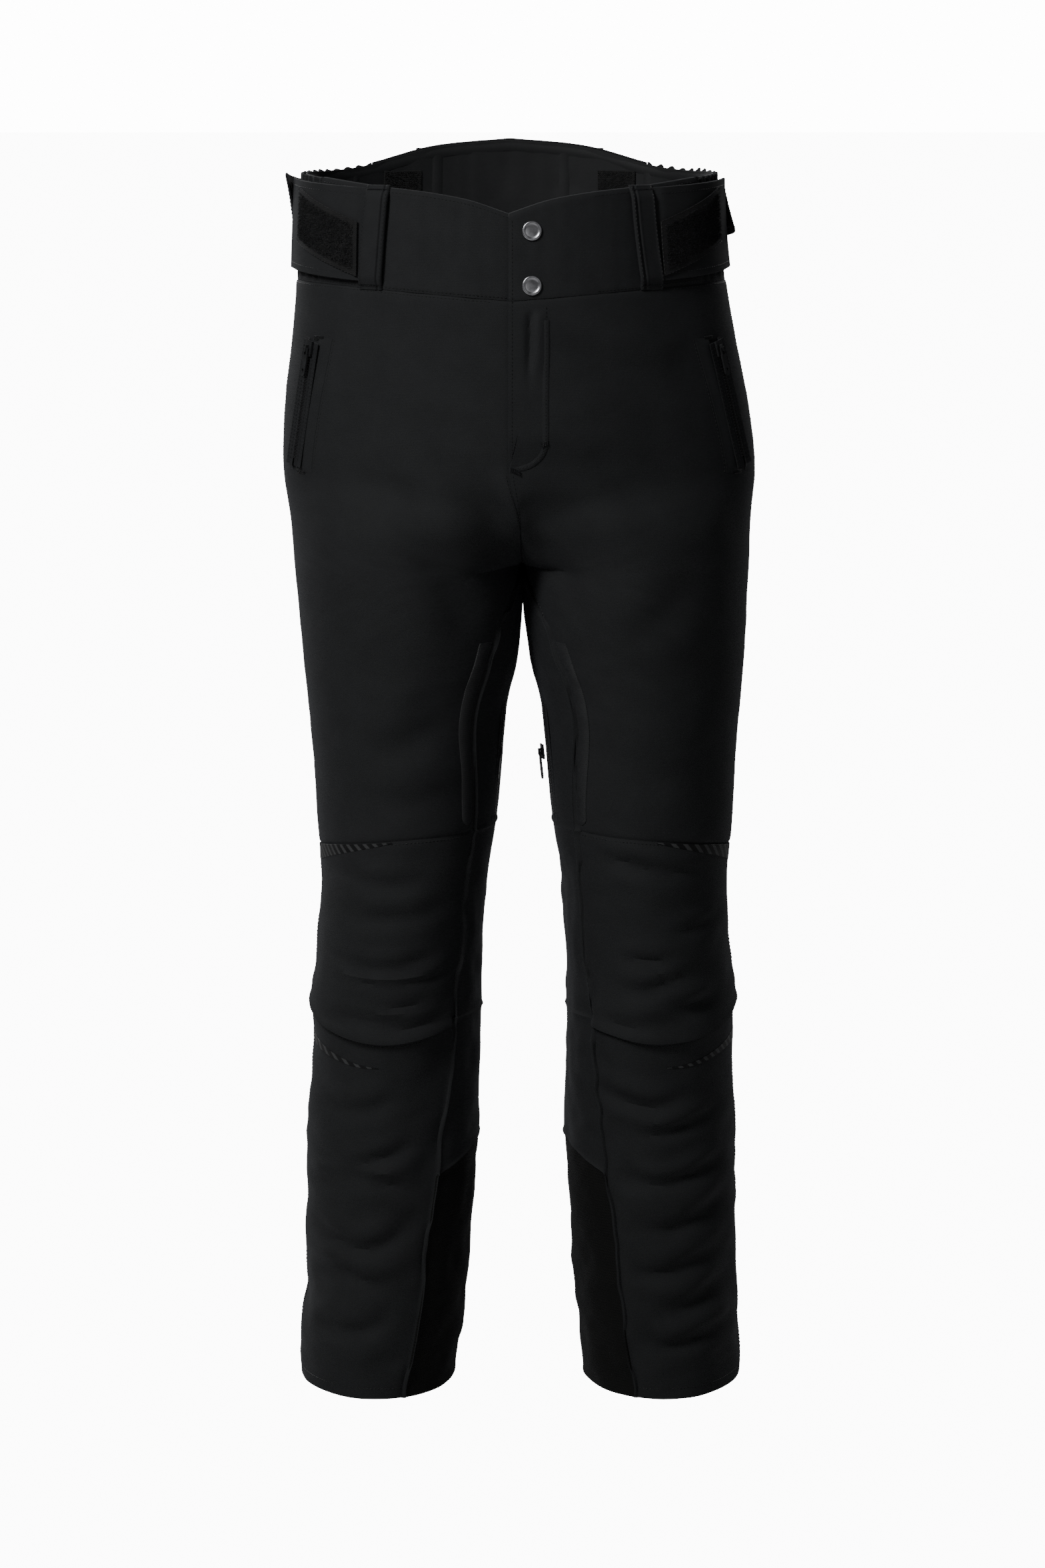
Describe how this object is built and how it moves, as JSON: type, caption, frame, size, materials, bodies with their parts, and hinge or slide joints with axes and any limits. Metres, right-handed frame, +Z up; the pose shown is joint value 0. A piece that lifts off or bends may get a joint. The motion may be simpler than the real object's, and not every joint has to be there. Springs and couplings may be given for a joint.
{
  "type": "ski pants",
  "caption": "Insulated ski trousers in worn shape, with overlapping snapped fly front, side adjusters, zip pockets, thigh vents, articulated knees and scuff guards.",
  "frame": {"origin": "centre of the waist opening, at the height of the waistband's top edge at the sides", "axes": "+Z up out of the waist, -Y towards the wearer's front, +X towards the wearer's left"},
  "size_m": [0.406, 0.2581, 1.0801],
  "materials": {
    "shell_fabric": "matte twill shell",
    "scuff_twill": "coarse matte twill",
    "elastic": "gathered rib",
    "hook_and_loop": "fuzzy pile",
    "lining": "smooth lining",
    "zip_tape": "moulded teeth on woven tape",
    "gunmetal": "polished dark metal"
  },
  "bodies": {
    "waist": {"waistband_right": "shell_fabric", "waistband_left": "shell_fabric", "waistband_back": "shell_fabric", "elastic_right": "elastic", "elastic_left": "elastic", "belt_loop_front_right": "shell_fabric", "belt_loop_front_left": "shell_fabric", "belt_loops_back": "shell_fabric", "loop_patches": "hook_and_loop", "brace_patches": "hook_and_loop", "snap_studs": "gunmetal", "fly_shield": "lining", "fly_zip": "zip_tape", "hip_front_right": "shell_fabric", "hip_front_left": "shell_fabric", "seat_right": "shell_fabric", "seat_left": "shell_fabric", "pocket_zip_right": "zip_tape", "pocket_zip_left": "zip_tape", "pocket_bags": "lining", "groin_right": "shell_fabric", "groin_left": "shell_fabric"},
    "flap": {"waist_flap": "shell_fabric", "snap_caps": "gunmetal", "snap_sockets": "gunmetal"},
    "fly_slider": {"fly_slider": "gunmetal"},
    "fly_pull": {"fly_pull": "gunmetal"},
    "thigh_left": {"thigh_front_left": "shell_fabric", "thigh_back_left": "shell_fabric", "inner_thigh_left": "shell_fabric", "vent_zip_left": "zip_tape", "knee_left": "shell_fabric"},
    "shin_left": {"shin_front_left": "shell_fabric", "calf_left": "shell_fabric", "inner_shin_left": "shell_fabric", "scuff_guard_left": "scuff_twill", "gaiter_left": "lining"},
    "pocket_left_slider": {"pocket_slider_left": "gunmetal"},
    "pocket_left_pull": {"pocket_pull_left": "gunmetal"},
    "vent_left_slider": {"vent_slider_left": "gunmetal"},
    "vent_left_pull": {"vent_pull_left": "gunmetal"},
    "adjuster_left": {"adjuster_tab_left": "shell_fabric", "hook_patch_left": "hook_and_loop"},
    "thigh_right": {"thigh_front_right": "shell_fabric", "thigh_back_right": "shell_fabric", "inner_thigh_right": "shell_fabric", "vent_zip_right": "zip_tape", "knee_right": "shell_fabric"},
    "shin_right": {"shin_front_right": "shell_fabric", "calf_right": "shell_fabric", "inner_shin_right": "shell_fabric", "scuff_guard_right": "scuff_twill", "gaiter_right": "lining"},
    "pocket_right_slider": {"pocket_slider_right": "gunmetal"},
    "pocket_right_pull": {"pocket_pull_right": "gunmetal"},
    "vent_right_slider": {"vent_slider_right": "gunmetal"},
    "vent_right_pull": {"vent_pull_right": "gunmetal"},
    "adjuster_right": {"adjuster_tab_right": "shell_fabric", "hook_patch_right": "hook_and_loop"}
  },
  "joints": [
    {"name": "hip_left", "type": "hinge", "parent": "waist", "child": "thigh_left", "pos_m": [0.095, 0, -0.29], "axis": [-1, 0, 0], "range_deg": [-15, 45], "deforming": ["groin_left"]},
    {"name": "knee_left", "type": "hinge", "parent": "thigh_left", "child": "shin_left", "pos_m": [0.11, 0.01, -0.668], "axis": [1, 0, 0], "range_deg": [0, 90], "deforming": ["knee_left"]},
    {"name": "hip_right", "type": "hinge", "parent": "waist", "child": "thigh_right", "pos_m": [-0.095, 0, -0.29], "axis": [-1, 0, 0], "range_deg": [-15, 45], "deforming": ["groin_right"]},
    {"name": "knee_right", "type": "hinge", "parent": "thigh_right", "child": "shin_right", "pos_m": [-0.11, 0.01, -0.668], "axis": [1, 0, 0], "range_deg": [0, 90], "deforming": ["knee_right"]},
    {"name": "flap_fold", "type": "hinge", "parent": "waist", "child": "flap", "pos_m": [0.01597, -0.12205, -0.13956], "axis": [0.2295, 0.0803, 0.97], "range_deg": [0, 110]},
    {"name": "fly_zip", "type": "slide", "parent": "waist", "child": "fly_slider", "axis": [0, -0.0602, -0.9982], "range_m": [0, 0.095]},
    {"name": "fly_pull", "type": "hinge", "parent": "fly_slider", "child": "fly_pull", "pos_m": [0.003, -0.10985, -0.11164], "axis": [-1, 0, 0], "range_deg": [0, 10]},
    {"name": "pocket_left_zip", "type": "slide", "parent": "waist", "child": "pocket_left_slider", "axis": [0.2267, 0.0866, -0.9701], "range_m": [0, 0.085]},
    {"name": "pocket_left_pull", "type": "hinge", "parent": "pocket_left_slider", "child": "pocket_left_pull", "pos_m": [0.17069, -0.05741, -0.14908], "axis": [-0.5692, -0.7964, -0.2041], "range_deg": [0, 150]},
    {"name": "vent_left_zip", "type": "slide", "parent": "thigh_left", "child": "vent_left_slider", "axis": [0.1009, -0.024, -0.9946], "range_m": [-0.022, 0.045]},
    {"name": "vent_left_pull", "type": "hinge", "parent": "vent_left_slider", "child": "vent_left_pull", "pos_m": [0.01693, -0.02932, -0.50032], "axis": [-0.1867, 0.9815, -0.0426], "range_deg": [0, 25]},
    {"name": "adjuster_left", "type": "hinge", "parent": "waist", "child": "adjuster_left", "pos_m": [0.14207, 0.06214, -0.0489], "axis": [0, 0, 1], "range_deg": [0, 110]},
    {"name": "pocket_right_zip", "type": "slide", "parent": "waist", "child": "pocket_right_slider", "axis": [-0.1509, 0.0879, -0.9846], "range_m": [0, 0.085]},
    {"name": "pocket_right_pull", "type": "hinge", "parent": "pocket_right_slider", "child": "pocket_right_pull", "pos_m": [-0.18091, -0.05737, -0.14944], "axis": [-0.5765, 0.8013, 0.1599], "range_deg": [0, 150]},
    {"name": "vent_right_zip", "type": "slide", "parent": "thigh_right", "child": "vent_right_slider", "axis": [-0.1009, -0.024, -0.9946], "range_m": [-0.022, 0.045]},
    {"name": "vent_right_pull", "type": "hinge", "parent": "vent_right_slider", "child": "vent_right_pull", "pos_m": [-0.01693, -0.02932, -0.50032], "axis": [-0.1867, -0.9815, 0.0426], "range_deg": [0, 25]},
    {"name": "adjuster_right", "type": "hinge", "parent": "waist", "child": "adjuster_right", "pos_m": [-0.16007, 0.06214, -0.0489], "axis": [0, 0, -1], "range_deg": [0, 110]}
  ]
}
